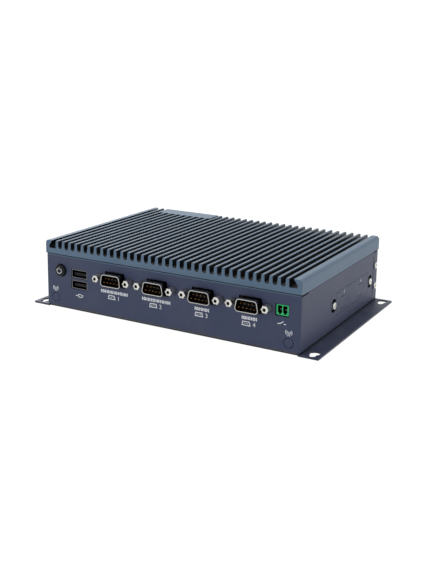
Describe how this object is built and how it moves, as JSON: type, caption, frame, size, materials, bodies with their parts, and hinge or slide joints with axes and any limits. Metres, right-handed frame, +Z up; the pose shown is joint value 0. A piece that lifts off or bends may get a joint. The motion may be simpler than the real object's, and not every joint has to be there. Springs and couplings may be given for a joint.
{
  "type": "fanless industrial pc",
  "caption": "Low box-shaped fanless computer: finned aluminium cover on a folded steel case, nine-pin serial ports in front, wall-mount ears with keyholes",
  "frame": {"origin": "centre of the base plate's underside, on the mounting surface", "axes": "+X along the front panel to the right as seen from the front, +Y from the front panel to the rear panel, +Z up"},
  "size_m": [0.2204, 0.1431, 0.0481],
  "materials": {
    "cover_paint": "fine-grained blue-grey coating on extruded aluminium",
    "case_paint": "dark blue-grey powder coating on folded steel",
    "bright_steel": "zinc-plated steel",
    "nickel": "nickel-plated steel",
    "black_plastic": "moulded, matt",
    "gold_plate": "gold-plated",
    "tin_plate": "tin-plated",
    "green_plastic": "moulded",
    "grey_plastic": "moulded, satin",
    "board_green": "lacquered laminate",
    "soft_pad": "soft filled silicone",
    "bare_aluminium": "bare"
  },
  "bodies": {
    "housing": {"finned_cover": "cover_paint", "case_shell": "case_paint", "base_plate": "case_paint", "rear_panel": "case_paint", "side_hatch": "case_paint", "hatch_frame": "case_paint", "rear_strips": "case_paint", "tab_screws": "bright_steel", "hatch_screws": "bright_steel", "plate_screws": "bright_steel", "cover_screws": "bright_steel", "board_spacers": "bright_steel", "board_screws": "bright_steel", "earth_screw": "bright_steel", "earth_nut": "bright_steel", "jackscrews": "bright_steel", "jackscrew_nuts": "bright_steel", "serial_shell_1": "nickel", "serial_shell_2": "nickel", "serial_shell_3": "nickel", "serial_shell_4": "nickel", "front_bus_shell": "nickel", "rear_bus_shell": "nickel", "network_socket_1_shell": "nickel", "network_socket_2_shell": "nickel", "video_socket_shell": "nickel", "serial_mouldings": "black_plastic", "front_bus_tongues": "black_plastic", "rear_bus_tongues": "black_plastic", "network_socket_1_insert": "black_plastic", "network_socket_2_insert": "black_plastic", "video_socket_blade": "black_plastic", "power_switch": "black_plastic", "memory_socket": "black_plastic", "drive_socket": "black_plastic", "cell_holder": "black_plastic", "processor": "black_plastic", "power_coils": "black_plastic", "serial_pins": "gold_plate", "front_bus_contacts": "gold_plate", "rear_bus_contacts": "gold_plate", "network_contacts": "gold_plate", "switch_header": "green_plastic", "power_header": "green_plastic", "switch_header_pins": "tin_plate", "power_header_pins": "tin_plate", "button_guide": "black_plastic", "main_board": "board_green", "memory_module": "board_green", "storage_card": "board_green", "storage_post": "gold_plate", "thermal_pad": "soft_pad", "heat_spreader": "bare_aluminium", "coin_cell": "bright_steel", "capacitors": "bare_aluminium"},
    "push_button": {"power_button": "grey_plastic", "switch_plunger": "black_plastic"}
  },
  "joints": [
    {"name": "button_press", "type": "slide", "parent": "housing", "child": "push_button", "axis": [0, 1, 0], "range_m": [0, 0.001], "stiffness_N_per_m": 1500, "springref_m": -0.001}
  ]
}
